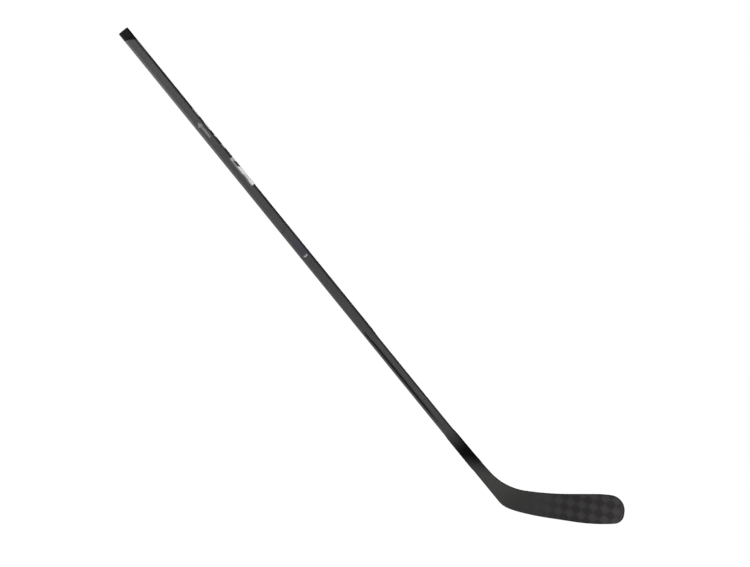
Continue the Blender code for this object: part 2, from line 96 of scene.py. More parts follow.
PLUG_GAP = 0.0003  # between the shaft's end and the plug's head
TONGUE_CLEAR = 0.0004  # between the plug's tongue and the bore
PLUG_FOOT = ((0.0, -0.0007), (0.0002, -0.0003), (0.0006, 0.0))  # (q above the shoulder, growth)
PLUG_RECESS = ((0.0, -0.0034), (-0.0004, -0.0038))  # (q above the end, growth)
SLEEVE_EDGE = 0.00008  # how far the wrap's thin ends stand proud
SLEEVE_CLEAR = 0.00002  # between the wrap and what it covers
SLEEVE_FEATHER_LOW = (-0.002, 0.012)  # from the wrap's lower end
SLEEVE_FEATHER_HIGH = (-0.014, 0.002)  # from its upper end
SHELL = 0.0010  # thickness of the blade's shells
SHELL_INSET = 0.0055  # where the faces' flat part begins
SEAM_ANGLE = math.radians(62.0)  # how far round the edge the shells reach
SEAM_GAP = math.radians(1.0)  # the fine line between the shells and the edge band
EDGE_CLEAR = 0.0011  # from the edge's inner wall to the faces' outsides
ARC_STEPS = 9
FLAT_STEPS = 6
WIDE_FLAT_RATIO = 3  # the wide faces' flats take this many times the narrow ones' steps
SHAFT_STEPS = 150
BORE_EVERY = 6  # the bore needs only every sixth station
PLUG_EDGE_STEPS = 8
SLEEVE_STEPS = 40
SECTIONS_HOSEL = 30
SECTIONS_BLADE = 72
ACROSS_STEPS = 36
SEAM_STEPS = 6
EDGE_STEPS = 3
SHARP_ANGLE = math.radians(35.0)

UP = Vector((-math.cos(SHAFT_RISE), 0.0, math.sin(SHAFT_RISE)))
ACROSS = Vector((math.sin(SHAFT_RISE), 0.0, math.cos(SHAFT_RISE)))
FOOT = Vector((AXIS_FOOT_X, 0.0, 0.0))
FACE_FLAT = SHAFT_WIDTH / 2.0 - SHAFT_CORNER  # half the flat of a wide face
SIDE_FLAT = SHAFT_THICKNESS / 2.0 - SHAFT_CORNER  # half the flat of a narrow side
CORNER_RUN = SHAFT_CORNER * math.pi / 2.0
WRAP_MIDDLE = FACE_FLAT + CORNER_RUN + SIDE_FLAT  # from the middle of a wide face to that of a narrow side


def smooth(value, start, end):
    share = min(1.0, max(0.0, (value - start) / (end - start)))
    return share * share * (3.0 - 2.0 * share)


def on_shaft(q, t, y):
    return FOOT + UP * q + ACROSS * t + Vector((0.0, y, 0.0))


# ---------------------------------------------------------------- blade outline


class Path:
    """Straights and arcs in the X-Z plane, which can be offset inwards exactly."""

    def __init__(self, start, heading, inside):
        self.start = start
        self.start_heading = heading
        self.inside = inside
        self.segments = []
        self.position = start
        self.heading = heading

    @property
    def length(self):
        return sum(segment[0] for segment in self.segments)

    def straight(self, length):
        self.segments.append((length, None, 0.0))
        self.position = self._after(self.position, self.heading, length, None, 0.0)

    def arc(self, radius, turn):
        self.segments.append((radius * abs(turn), radius, turn))
        self.position = self._after(self.position, self.heading, 0.0, radius, turn)
        self.heading += turn

    def arc_then_straight_to(self, radius, target):
        """Turns right on this radius until it faces the target, then runs straight to it."""
        centre = self.position - radius * self._left(self.heading)
        away = target - centre
        reach = math.sqrt(away.length_squared - radius * radius)
        facing = math.atan2(away.y, away.x) - math.atan2(radius, reach)
        turn = (facing - self.heading + math.pi) % (2.0 * math.pi) - math.pi
        self.arc(radius, turn)
        self.straight(reach)

    def at(self, distance, inset=0.0):
        position = self.start + self.inside * inset * self._left(self.start_heading)
        heading = self.start_heading
        for length, radius, turn in self.segments:
            share = min(1.0, distance / length)
            if radius is not None:
                centre_inside = (turn > 0.0) == (self.inside > 0.0)
                radius = radius - inset if centre_inside else radius + inset
            position = self._after(position, heading, share * length, radius, share * turn)
            heading += share * turn
            distance -= length
            if distance <= 0.0:
                break
        return position

    @staticmethod
    def _left(heading):
        return Vector((-math.sin(heading), math.cos(heading)))

    @classmethod
    def _after(cls, position, heading, length, radius, turn):
        if radius is None:
            return position + length * Vector((math.cos(heading), math.sin(heading)))
        side = 1.0 if turn > 0.0 else -1.0
        centre = position + side * radius * cls._left(heading)
        return centre - side * radius * cls._left(heading + turn)


def joint_corner(side):
    corner = on_shaft(JOINT_Q - JOINT_GLUE, side * SHAFT_WIDTH / 2.0, 0.0)
    return Vector((corner.x, corner.z))


def toe_mid_height():
    corner = TOE_LOWER_RADIUS * math.cos(SOLE_TOE_TURN)
    return TOE_SIDE + corner + SOLE_TOE_RADIUS * (1.0 - math.cos(SOLE_TOE_TURN))


def sole_path():
    path = Path(Vector((TOE_X, toe_mid_height())), -math.pi / 2.0, -1.0)
    path.straight(TOE_SIDE)
    path.arc(TOE_LOWER_RADIUS, -(math.pi / 2.0 - SOLE_TOE_TURN))
    path.arc(SOLE_TOE_RADIUS, -SOLE_TOE_TURN)
    path.straight(SOLE_FLAT)
    path.arc(SOLE_HEEL_RADIUS, -SOLE_HEEL_TURN)
    path.arc(SOLE_ROLL_RADIUS, -SOLE_ROLL_TURN)
    path.arc_then_straight_to(HEEL_RADIUS, joint_corner(-1.0))
    return path


def top_path():
    path = Path(Vector((TOE_X, toe_mid_height())), math.pi / 2.0, 1.0)
    path.arc(TOE_UPPER_RADIUS, math.pi / 2.0)
    path.arc(TOP_TOE_RADIUS, TOP_SLOPE)
    path.straight(TOP_STRAIGHT)
    path.arc(TOP_DIP_RADIUS, -TOP_SLOPE)
    path.arc_then_straight_to(THROAT_RADIUS, joint_corner(1.0))
    return path


SOLE = sole_path()
TOP = top_path()
TOE_LOW_S = TOE_SIDE + 0.5 * SOLE.segments[1][0]  # middle of the toe's lower corner
TOE_HIGH_S = 0.5 * TOP.segments[0][0]  # middle of the toe's upper round
HEEL_S = sum(segment[0] for segment in SOLE.segments[:6]) + 0.5 * SOLE.segments[6][0]
THROAT_S = sum(segment[0] for segment in TOP.segments[:4]) + THROAT_RADIUS * THROAT_KNOT


def run_distance(u, toe, knot, joint):
    if u < HEEL_U:
        return joint + (knot - joint) * u / HEEL_U
    return knot + (toe - knot) * (u - HEEL_U) / (1.0 - HEEL_U)


def toe_end(v, inset):
    along = v * (TOE_LOW_S + TOE_HIGH_S)
    if along < TOE_LOW_S:
        return SOLE.at(TOE_LOW_S - along, inset)
    return TOP.at(along - TOE_LOW_S, inset)


def planform(u, v, inset):
    low = SOLE.at(run_distance(u, TOE_LOW_S, HEEL_S, SOLE.length), inset)
    high = TOP.at(run_distance(u, TOE_HIGH_S, THROAT_S, TOP.length), inset)
    bulge = toe_end(v, inset) - toe_end(0.0, inset).lerp(toe_end(1.0, inset), v)
    return low.lerp(high, v) + smooth(u, *END_BLEND) * bulge


def shaft_q(point):
    return Vector((point.x - AXIS_FOOT_X, 0.0, point.y)).dot(UP)


def half_thickness(point):
    thin = BLADE_THICK_HEEL + (BLADE_THICK_TOE - BLADE_THICK_HEEL) * smooth(point.x, *BLADE_THIN_SPAN)
    return 0.5 * (thin + (SHAFT_THICKNESS - BLADE_THICK_HEEL) * smooth(shaft_q(point), *HOSEL_SPAN))


def corner_radius(point):
    return BLADE_CORNER + (SHAFT_CORNER - BLADE_CORNER) * smooth(shaft_q(point), *HOSEL_SPAN)


def on_blade(point, side_offset):
    share = max(0.0, (point.x - CURVE_START_X) / (TOE_X - CURVE_START_X))
    middle = -CURVE_DEPTH * share * share + point.y * math.tan(TOE_LOFT) * share * share
    return Vector((point.x, middle + side_offset, point.y))


def section_shares():
    """The u of each section, from the joint to the toe, closer together round the toe."""
    fan = [HEEL_U * i / SECTIONS_HOSEL for i in range(SECTIONS_HOSEL)]
    blade = []
    for i in range(SECTIONS_BLADE + 1):
        share = math.sin(0.5 * math.pi * i / SECTIONS_BLADE) ** TOE_CROWDING
        blade.append(HEEL_U + (1.0 - HEEL_U) * share)
    return fan + blade


# ---------------------------------------------------------------- node graphs


class Graph:
    """A Principled material and short ways to wire nodes. Inputs are numbers, colours or sockets."""

    def __init__(self, name):
        self.material = bpy.data.materials.new(name)
        self.material.use_nodes = True
        self.tree = self.material.node_tree
        self.shader = self.tree.nodes["Principled BSDF"]
        self.place = self.node("ShaderNodeTexCoord").outputs["Object"]

    def node(self, kind, **settings):
        made = self.tree.nodes.new(kind)
        for key, value in settings.items():
            setattr(made, key, value)
        return made

    def feed(self, socket, value):
        if hasattr(value, "is_linked"):
            self.tree.links.new(value, socket)
        elif isinstance(value, (tuple, list)) and len(value) == 3 and len(socket.default_value) == 4:
            socket.default_value = (*value, 1.0)
        else:
            socket.default_value = value

    def set(self, **inputs):
        for key, value in inputs.items():
            self.feed(self.shader.inputs[key.replace("_", " ")], value)

    def math(self, operation, a, b=0.0, c=0.0, clamp=False):
        made = self.node("ShaderNodeMath", operation=operation, use_clamp=clamp)
        for socket, value in zip(made.inputs, (a, b, c)):
            self.feed(socket, value)
        return made.outputs[0]

    def add(self, a, b):
        return self.math("ADD", a, b)

    def sub(self, a, b):
        return self.math("SUBTRACT", a, b)

    def mul(self, a, b, clamp=False):
        return self.math("MULTIPLY", a, b, clamp=clamp)

    def dot(self, vector, direction):
        made = self.node("ShaderNodeVectorMath", operation="DOT_PRODUCT")
        self.feed(made.inputs[0], vector)
        made.inputs[1].default_value = direction
        return made.outputs["Value"]

    def combine(self, x, y, z):
        made = self.node("ShaderNodeCombineXYZ")
        for socket, value in zip(made.inputs, (x, y, z)):
            self.feed(socket, value)
        return made.outputs[0]

    def ease(self, value, start, end, low=0.0, high=1.0):
        """low at start, high at end, smooth between and flat beyond."""
        made = self.node("ShaderNodeMapRange", interpolation_type="SMOOTHSTEP")
        self.feed(made.inputs["Value"], value)
        for key, number in zip(("From Min", "From Max", "To Min", "To Max"), (start, end, low, high)):
            self.feed(made.inputs[key], number)
        return made.outputs["Result"]

    def window(self, value, start, end, soft):
        """1 between start and end, falling to 0 over soft on each side."""
        rise = self.ease(value, start - soft, start + soft)
        fall = self.ease(value, end - soft, end + soft, 1.0, 0.0)
        return self.mul(rise, fall)

    def noise(self, vector, scale=1.0, detail=2.0, roughness=0.5):
        made = self.node("ShaderNodeTexNoise")
        self.feed(made.inputs["Vector"], vector)
        self.feed(made.inputs["Scale"], scale)
        self.feed(made.inputs["Detail"], detail)
        self.feed(made.inputs["Roughness"], roughness)
        return made.outputs["Fac"]

    def specks(self):
        return self.noise(self.place, 900.0, 2.0, 0.7)

    def shine(self, level):
        self.feed(self.shader.inputs["Specular IOR Level"], level)

    def mix(self, share, a, b):
        """Mixes two colours."""
        made = self.node("ShaderNodeMix", data_type="RGBA")
        self.feed(made.inputs["Factor"], share)
        self.feed(made.inputs[6], a)
        self.feed(made.inputs[7], b)
        return made.outputs[2]

    def blend(self, share, a, b):
        """Mixes two numbers."""
        made = self.node("ShaderNodeMix", data_type="FLOAT")
        self.feed(made.inputs["Factor"], share)
        self.feed(made.inputs[2], a)
        self.feed(made.inputs[3], b)
        return made.outputs[0]

    def scale_colour(self, colour, factor):
        """Multiplies a colour by a number."""
        made = self.node("ShaderNodeVectorMath", operation="SCALE")
        self.feed(made.inputs[0], colour)
        self.feed(made.inputs["Scale"], factor)
        return made.outputs[0]

    def bump(self, height, distance, strength=1.0):
        made = self.node("ShaderNodeBump")
        self.feed(made.inputs["Height"], height)
        self.feed(made.inputs["Distance"], distance)
        self.feed(made.inputs["Strength"], strength)
        self.feed(self.shader.inputs["Normal"], made.outputs[0])

    def shaft_place(self):
        """(q, t, y) of the shaded point."""
        moved = self.node("ShaderNodeVectorMath", operation="SUBTRACT")
        self.feed(moved.inputs[0], self.place)
        moved.inputs[1].default_value = FOOT
        spot = moved.outputs[0]
        return self.dot(spot, UP), self.dot(spot, ACROSS), self.dot(spot, (0.0, 1.0, 0.0))


SHAFT_GREY = (0.0405, 0.0405, 0.0408)
# the upper narrow side: its black paint, darkened further as painted shade
SIDE_BLACK_AND_SHADE = (0.0175, 0.0175, 0.0178)
BAND_BLACK = (0.0012, 0.0011, 0.0012)
# the spear line's black, which also stands in for the shade of the falling facet
LINE_BLACK_AND_SHADE = (0.0040, 0.0040, 0.0038)
PLUG_BLACK = (0.0050, 0.0048, 0.0050)
NECK_GREY = (0.0385, 0.0376, 0.0362)
HEEL_GREY = (0.0232, 0.0222, 0.0214)
TOW_LIGHT = (0.0300, 0.0272, 0.0283)
TOW_DARK = (0.0180, 0.0162, 0.0170)
TOW_SEAM = (0.0070, 0.0064, 0.0067)
TOW_FALL = math.radians(-41.7)  # the way of the tows that fall towards the toe, on the forehand face
TOW_RISE = math.radians(43.5)
TOW_FALL_WIDTH = 0.0184
TOW_RISE_WIDTH = 0.0207
WEAVE_SOFT = 0.20
WEAVE_BIAS = 0.06
WEAVE_KNOT = (0.0583, 0.0, 0.0455)  # centre of one light square
WEAVE_TURNS = 40.5  # whole tows added to keep the count positive, and half a tow to centre it on the knot
FILAMENTS_PER_TOW = 30.0
SCUFF_GREY = (0.045, 0.044, 0.043)
FOAM_CREAM = (0.72, 0.68, 0.56)
FOAM_TAN = (0.60, 0.57, 0.50)
INSERT_BLACK = (0.025, 0.025, 0.026)
RIB_BLACK = (0.028, 0.028, 0.030)

FILAMENT_SCALE = (2600.0, 45.0)  # per metre, across and along the shaft
YARN_SCALE = (900.0, 70.0)
STREAK_SHARE = 1.1
SPECK_SHARE = 0.2
CLOUD_SHARE = 0.5

# Pairs are where a change starts and ends: in q unless the name ends in T, or in x for the weave.
FACE_FADE = (0.70, 1.00)
BUTT_FADE = (1.15, 1.36)
BRIGHT_STRETCH = (0.32, 0.56)
# painted highlight on the shaft's lower corner: where it grows along the shaft, and how far across it reaches
# (t)
CORNER_HIGHLIGHT_FADE = (0.95, 1.20)
CORNER_HIGHLIGHT_T = (-0.0112, -0.0072)
SIDE_T = (0.0062, 0.0100)
SHADE_SPAN = (0.9035, 0.9150)  # a darker patch above the blue-black panel
SHADE_T = (0.0, 0.0030)
SPEAR_T = -0.0068  # the line's middle
SPEAR_TIP = (0.545, 0.575)  # where the line bends towards the edge
SPEAR_TIP_DROP = -0.0009
SPEAR_NARROWING = (0.545, 0.570)
SPEAR_CORE = 0.0008  # half the line's solid middle
SPEAR_ABOVE = (0.0050, 0.0030)  # reach of its soft upper side, on the line and at the tip
SPEAR_BELOW = (0.0036, 0.0026)
SPEAR_FOOT = (0.276, 0.345)
SPEAR_END = (0.578, 0.600)
TIP_SLANT = 0.68  # the black end's lower border leans by this
TIP_Q = (1.5212, 1.5252)
BAND_SLOPE = -1.1  # the lean of the black band's lower end
BAND_LOWER_Q = 0.166
BAND_LOWER_SOFT = (-0.050, 0.026)  # from the leaning end
BAND_UPPER = (0.196, 0.275)
WEAVE_SHOWS = (-0.075, 0.035)
WEAVE_FADES_AT_TOE = (0.145, 0.160)


def black_band(g, q, t):
    """1 in the black band over the joint: a long soft upper end, and a slanted, shorter lower end."""
    ragged = g.mul(g.sub(g.noise(g.place, 120.0, 3.0, 0.6), 0.5), 0.010)
    lower_end = g.add(g.add(g.mul(t, BAND_SLOPE), BAND_LOWER_Q), ragged)
    lower = g.ease(g.sub(q, lower_end), *BAND_LOWER_SOFT)
    upper = g.ease(q, *BAND_UPPER, 1.0, 0.0)
    return g.mul(lower, upper)


def fibres(g, q, t, y):
    """Fine streaks along the shaft, 0 to 1 about 0.5: filaments, and the wider yarns they lie in."""
    across, along = FILAMENT_SCALE
    filaments = g.noise(g.combine(g.mul(q, along), g.mul(t, across), g.mul(y, across)), 1.0, 3.0, 0.6)
    across, along = YARN_SCALE
    yarns = g.noise(g.combine(g.mul(q, along), g.mul(t, across), g.mul(y, across)), 1.0, 1.0, 0.4)
    return g.blend(0.4, filaments, yarns)


def grain(g, streaks, specks, spread):
    """A tone about 1, from the streaks, the specks and wide, faint clouds."""
    clouds = g.noise(g.place, 28.0, 3.0, 0.55)
    by_specks, by_clouds = g.mul(specks, SPECK_SHARE), g.mul(clouds, CLOUD_SHARE)
    mixed = g.add(g.mul(streaks, STREAK_SHARE), g.add(by_specks, by_clouds))
    middle = 0.5 * (STREAK_SHARE + SPECK_SHARE + CLOUD_SHARE)
    return g.add(1.0, g.mul(g.sub(mixed, middle), spread))


def spear_line_and_shade(g, q, t):
    """1 in the black spear-shaped line along the scoop's break, which narrows to a tip at its upper end. It
    is partly a painted black line and partly painted shade of the facet that falls away there.
    """
    line = g.add(SPEAR_T, g.ease(q, *SPEAR_TIP, 0.0, SPEAR_TIP_DROP))
    reach_above = g.ease(q, *SPEAR_NARROWING, *SPEAR_ABOVE)
    reach_below = g.ease(q, *SPEAR_NARROWING, *SPEAR_BELOW)
    above = g.ease(g.sub(t, line), SPEAR_CORE, reach_above, 1.0, 0.0)
    below = g.ease(g.sub(line, t), SPEAR_CORE, reach_below, 1.0, 0.0)
    return g.mul(g.mul(above, below), g.mul(g.ease(q, *SPEAR_FOOT), g.ease(q, *SPEAR_END, 1.0, 0.0)))


def shaft_finish():
    g = Graph("shaft_finish")
    q, t, y = g.shaft_place()
    streaks = fibres(g, q, t, y)
    specks = g.specks()
    fade = g.add(g.ease(q, *FACE_FADE, 0.86, 0.95), g.ease(q, *BUTT_FADE, 0.0, 0.16))
    face = g.scale_colour(SHAFT_GREY, g.mul(fade, grain(g, streaks, specks, 0.5)))
    bright = g.mul(g.window(q, *BRIGHT_STRETCH, 0.02), g.ease(t, -0.004, 0.001))
    face = g.scale_colour(face, g.add(1.0, g.mul(bright, 0.22)))
    # Painted highlight: the lower corner is lightened where it catches the light, more so towards the butt.
    corner = g.mul(g.ease(t, *CORNER_HIGHLIGHT_T, 1.0, 0.0), g.ease(q, *CORNER_HIGHLIGHT_FADE, 0.40, 1.15))
    face = g.scale_colour(face, g.add(1.0, corner))
    shade = g.mul(g.window(q, *SHADE_SPAN, 0.0015), g.ease(t, *SHADE_T, 1.0, 0.0))
    face = g.scale_colour(face, g.sub(1.0, g.mul(shade, 0.28)))
    # The upper narrow side turns black: partly its paint, partly painted shade where the light falls off.
    side = g.ease(t, *SIDE_T)
    colour = g.mix(side, face, g.scale_colour(SIDE_BLACK_AND_SHADE, g.add(0.6, g.mul(streaks, 0.8))))
    # Black paint and painted shade together: the spear line along the scoop's break.
    spear = spear_line_and_shade(g, q, t)
    colour = g.mix(g.mul(spear, 0.95), colour, LINE_BLACK_AND_SHADE)
    tip = g.ease(g.add(q, g.mul(t, TIP_SLANT)), *TIP_Q)
    colour = g.mix(tip, colour, PLUG_BLACK)
    band = black_band(g, q, t)
    dark = g.math("MAXIMUM", g.math("MAXIMUM", band, spear), tip)
    g.set(Base_Color=g.mix(band, colour, BAND_BLACK))
    rough = g.blend(side, g.add(0.44, g.mul(specks, 0.10)), g.add(0.30, g.mul(streaks, 0.14)))
    g.set(Roughness=rough)
    g.shine(g.blend(dark, g.blend(side, 0.34, 0.24), 0.06))
    g.bump(g.add(g.mul(streaks, 0.6), specks), 0.00004, 0.5)
    return g.material


def sleeve_finish():
    g = Graph("sleeve_finish")
    q, t, y = g.shaft_place()
    streaks = fibres(g, q, t, y)
    specks = g.specks()
    wrap = g.noise(g.combine(g.mul(q, 1800.0), g.mul(t, 60.0), g.mul(y, 60.0)), 1.0, 2.0, 0.5)
    grey = g.mix(g.ease(q, 0.17, 0.24), NECK_GREY, g.scale_colour(SHAFT_GREY, 0.86))
    colour = g.scale_colour(grey, grain(g, streaks, specks, 0.4))
    # The upper narrow side near the joint darkens the same way: partly black paint, partly painted shade.
    side = g.mul(g.ease(t, 0.0070, 0.0110), g.ease(q, 0.18, 0.24))
    colour = g.mix(side, colour, SIDE_BLACK_AND_SHADE)
    band = black_band(g, q, t)
    g.set(Base_Color=g.mix(band, colour, BAND_BLACK))
    g.set(Roughness=g.blend(band, 0.48, g.add(0.36, g.mul(specks, 0.12))))
    g.shine(g.blend(band, 0.30, 0.05))
    g.bump(g.add(g.mul(wrap, 0.7), specks), 0.00004, 0.5)
    return g.material


def plug_finish():
    g = Graph("plug_finish")
    q, t, _ = g.shaft_place()
    stipple = g.noise(g.place, 1500.0, 1.0, 0.5)
    smudge = g.noise(g.place, 60.0, 3.0, 0.6)
    end = g.ease(q, BUTT_Q - 0.006, BUTT_Q - 0.001)
    colour = g.scale_colour(PLUG_BLACK, g.add(0.7, g.mul(smudge, 0.6)))
    # Painted highlight: the plug's lower corner is lightened up to 3.5 times, where it catches the light.
    colour = g.scale_colour(colour, g.ease(t, -0.0118, -0.0080, 3.5, 1.0))
    g.set(Base_Color=g.mix(end, colour, g.scale_colour(PLUG_BLACK, 2.2)))
    g.set(Roughness=g.add(0.46, g.mul(stipple, 0.2)))
    g.shine(0.10)
    g.bump(stipple, 0.00010, 0.6)
    return g.material


def blade_finish(name, mirror, edge):
    """Spread tows crossing on the blade, fading to a plain finish over the heel and neck."""
    g = Graph(name)
    q, t, _ = g.shaft_place()
    x = g.dot(g.place, (1.0, 0.0, 0.0))
    sway = g.mul(g.sub(g.noise(g.place, 22.0, 2.0, 0.5), 0.5), 0.11)
    fall_angle, rise_angle = (-TOW_RISE, -TOW_FALL) if mirror else (TOW_FALL, TOW_RISE)
    rise_way = (-math.sin(fall_angle) / TOW_FALL_WIDTH, 0.0, math.cos(fall_angle) / TOW_FALL_WIDTH)
    fall_way = (math.sin(rise_angle) / TOW_RISE_WIDTH, 0.0, -math.cos(rise_angle) / TOW_RISE_WIDTH)
    from_knot = g.node("ShaderNodeVectorMath", operation="SUBTRACT")
    g.feed(from_knot.inputs[0], g.place)
    from_knot.inputs[1].default_value = WEAVE_KNOT
    rise = g.add(g.dot(from_knot.outputs[0], rise_way), g.add(sway, WEAVE_TURNS))
    fall = g.add(g.dot(from_knot.outputs[0], fall_way), g.add(sway, WEAVE_TURNS))
    from_rise = g.math("ABSOLUTE", g.sub(g.math("FRACT", rise), 0.5))
    from_fall = g.math("ABSOLUTE", g.sub(g.math("FRACT", fall), 0.5))
    checks = g.mul(g.math("SINE", g.mul(rise, math.pi)), g.math("SINE", g.mul(fall, math.pi)))
    parity = g.ease(checks, -WEAVE_BIAS - WEAVE_SOFT, -WEAVE_BIAS + WEAVE_SOFT, 1.0, 0.0)
    parity = g.mul(parity, g.ease(x, *WEAVE_FADES_AT_TOE, 1.0, 0.4))
    border = g.ease(g.math("MAXIMUM", from_rise, from_fall), 0.455, 0.498)
    up_place = g.combine(g.mul(rise, FILAMENTS_PER_TOW), g.mul(fall, 1.1), 3.1)
    down_place = g.combine(g.mul(rise, 1.1), g.mul(fall, FILAMENTS_PER_TOW), 7.7)
    up_streak = g.noise(up_place, 1.0, 4.0, 0.7)
    down_streak = g.noise(down_place, 1.0, 4.0, 0.7)
    streak = g.blend(parity, up_streak, down_streak)
    shown = g.ease(x, *WEAVE_SHOWS, 0.08, 1.0)
    crown = g.mul(g.ease(from_rise, 0.0, 0.5, 1.0, 0.88), g.ease(from_fall, 0.0, 0.5, 1.0, 0.88))
    filaments = g.add(0.50, streak)
    light = g.scale_colour(TOW_LIGHT, g.mul(filaments, crown))
    dark = g.scale_colour(TOW_DARK, filaments)
    tow = g.mix(g.mul(border, 0.45), g.mix(parity, light, dark), TOW_SEAM)
    toe = g.ease(x, 0.090, 0.140, 1.0, 1.07)
    plain_tone = g.add(0.85, g.mul(g.noise(g.place, 700.0, 3.0, 0.7), 0.30))
    plain_tone = g.mul(plain_tone, g.ease(x, -0.070, -0.030, 1.0, 1.14))
    plain = g.scale_colour(g.mix(g.ease(q, 0.010, 0.085), HEEL_GREY, NECK_GREY), plain_tone)
    colour = g.mix(shown, plain, g.scale_colour(tow, toe))
    rough = g.blend(shown, 0.48, g.blend(parity, 0.40, 0.46))
    if edge:
        scuff = g.ease(g.noise(g.place, 240.0, 4.0, 0.7), 0.52, 0.70)
        colour = g.mix(g.mul(scuff, 0.35), g.scale_colour(colour, 0.80), SCUFF_GREY)
        rough = g.add(0.40, g.mul(scuff, 0.25))
    band = black_band(g, q, t)
    g.set(Base_Color=g.mix(band, colour, BAND_BLACK))
    g.set(Roughness=g.blend(band, rough, 0.40))
    level = g.blend(shown, 0.26, g.blend(parity, 0.26, 0.16))
    g.shine(g.blend(band, level, 0.05))
    height = g.add(g.mul(streak, 0.5), g.mul(crown, 1.2))
    g.bump(g.add(g.mul(height, shown), g.mul(plain_tone, 0.3)), 0.00006, 0.5)
    return g.material


def film_finish(name, colour, roughness, spread=0.25):
    """A printed film: fine print grain, faint scuffs."""
    g = Graph(name)
    grain = g.noise(g.place, 2400.0, 2.0, 0.6)
    scuff = g.noise(g.place, 70.0, 4.0, 0.65)
    tone = g.add(1.0 - spread * 0.75, g.add(g.mul(grain, spread * 0.5), g.mul(scuff, spread)))
    g.set(Base_Color=g.scale_colour(colour, tone))
    g.set(Roughness=g.add(roughness - 0.08, g.mul(grain, 0.16)))
    g.bump(grain, 0.00003, 0.4)
    return g


def foam_finish(name, colour):
    g = Graph(name)
    cells = g.node("ShaderNodeTexVoronoi")
    g.feed(cells.inputs["Vector"], g.place)
    cells.inputs["Scale"].default_value = 900.0
    tone = g.add(0.75, g.mul(cells.outputs["Distance"], 0.5))
    g.set(Base_Color=g.scale_colour(colour, tone), Roughness=0.9)
    g.bump(cells.outputs["Distance"], 0.0002, 0.6)
    return g.material


# ---------------------------------------------------------------- mesh helpers


def link(name, bm, look, nodes=(), shell=0.0):
    """Makes a smooth-shaded piece of the mesh, which stands for these CAD nodes."""
    mesh = bpy.data.meshes.new(name)
    bm.normal_update()
    bm.to_mesh(mesh)
    bm.free()
    mesh.materials.append(look)
    mesh.shade_smooth()
    mesh.set_sharp_from_angle(angle=SHARP_ANGLE)
    piece = bpy.data.objects.new(name, mesh)
    bpy.context.scene.collection.objects.link(piece)
    if shell:
        thicken = piece.modifiers.new("shell", "SOLIDIFY")
        thicken.thickness = shell
        thicken.offset = -1.0
    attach(piece, "root")
    if nodes:
        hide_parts(*nodes)


def rings_mesh(rings, closed=False):
    bm = bmesh.new()
    loops = [[bm.verts.new(point) for point in ring] for ring in rings]
    pairs = list(zip(loops, loops[1:]))
    if closed:
        pairs.append((loops[-1], loops[0]))
    for below, above in pairs:
        for i in range(len(below)):
            j = (i + 1) % len(below)
            bm.faces.new((below[i], below[j], above[j], above[i]))
    if not closed:
        bm.faces.new(loops[0])
        bm.faces.new(loops[-1])
    bmesh.ops.recalc_face_normals(bm, faces=bm.faces)
    return bm


def rounded_section(low, high, half, corner):
    """(t, y) round a rounded rectangle, with points along the flats too."""
    points = []
    spots = ((high - corner, half - corner), (low + corner, half - corner),
             (low + corner, corner - half), (high - corner, corner - half))
    for quarter in range(4):
        centre_t, centre_y = spots[quarter]
        for step in range(ARC_STEPS + 1):
            angle = (quarter + step / ARC_STEPS) * math.pi / 2.0
            points.append((centre_t + corner * math.cos(angle), centre_y + corner * math.sin(angle)))
        next_t, next_y = spots[(quarter + 1) % 4]
        angle = (quarter + 1) * math.pi / 2.0
        start = points[-1]
        end = (next_t + corner * math.cos(angle), next_y + corner * math.sin(angle))
        steps = FLAT_STEPS * (WIDE_FLAT_RATIO if quarter in (0, 2) else 1)
        for step in range(1, steps):
            share = step / steps
            points.append(tuple(start[k] + (end[k] - start[k]) * share for k in (0, 1)))
    return points


def between(q, stretch):
    start, full, full_end, end = stretch
    return smooth(q, start, full) - smooth(q, full_end, end)


def shaft_edges(q):
    return -SHAFT_WIDTH / 2.0, SHAFT_WIDTH / 2.0 - TAPER_IN * between(q, TAPER_STRETCH)


def shaft_section(q, grow=0.0):
    """The shaft's outside at q as (t, y), with the scooped lower corners, grown outwards by grow."""
    low, high = shaft_edges(q)
    points = []
    for t, y in rounded_section(low - grow, high + grow, SHAFT_THICKNESS / 2.0 + grow, SHAFT_CORNER + grow):
        fall = max(0.0, (SCOOP_BREAK_T - t) / (SCOOP_BREAK_T - low - SHAFT_CORNER))
        drop = SCOOP_DEPTH * between(q, SCOOP_STRETCH) * smooth(fall, 0.0, 1.0)
        if abs(y) <= SIDE_FLAT:
            points.append((t, y * (1.0 - drop / SIDE_FLAT)))
        else:
            points.append((t, y - math.copysign(drop, y)))
    return points


def ring_at(q, section):
    return [on_shaft(q, t, y) for t, y in section]


# ---------------------------------------------------------------- shaft pieces


def build_shaft(look):
    top = BUTT_Q - PLUG_HEAD - PLUG_GAP
    stations = [JOINT_Q + (top - JOINT_Q) * i / SHAFT_STEPS for i in range(SHAFT_STEPS + 1)]
    outside = [ring_at(q, shaft_section(q)) for q in stations]
    inside = [ring_at(q, shaft_section(q, -SHAFT_WALL)) for q in reversed(stations[::BORE_EVERY])]
    link("shaft_body", rings_mesh(outside + inside, closed=True), look, ["shaft_tube"])


def plain_section(grow):
    half_width = SHAFT_WIDTH / 2.0 + grow
    return rounded_section(-half_width, half_width, SHAFT_THICKNESS / 2.0 + grow, SHAFT_CORNER + grow)


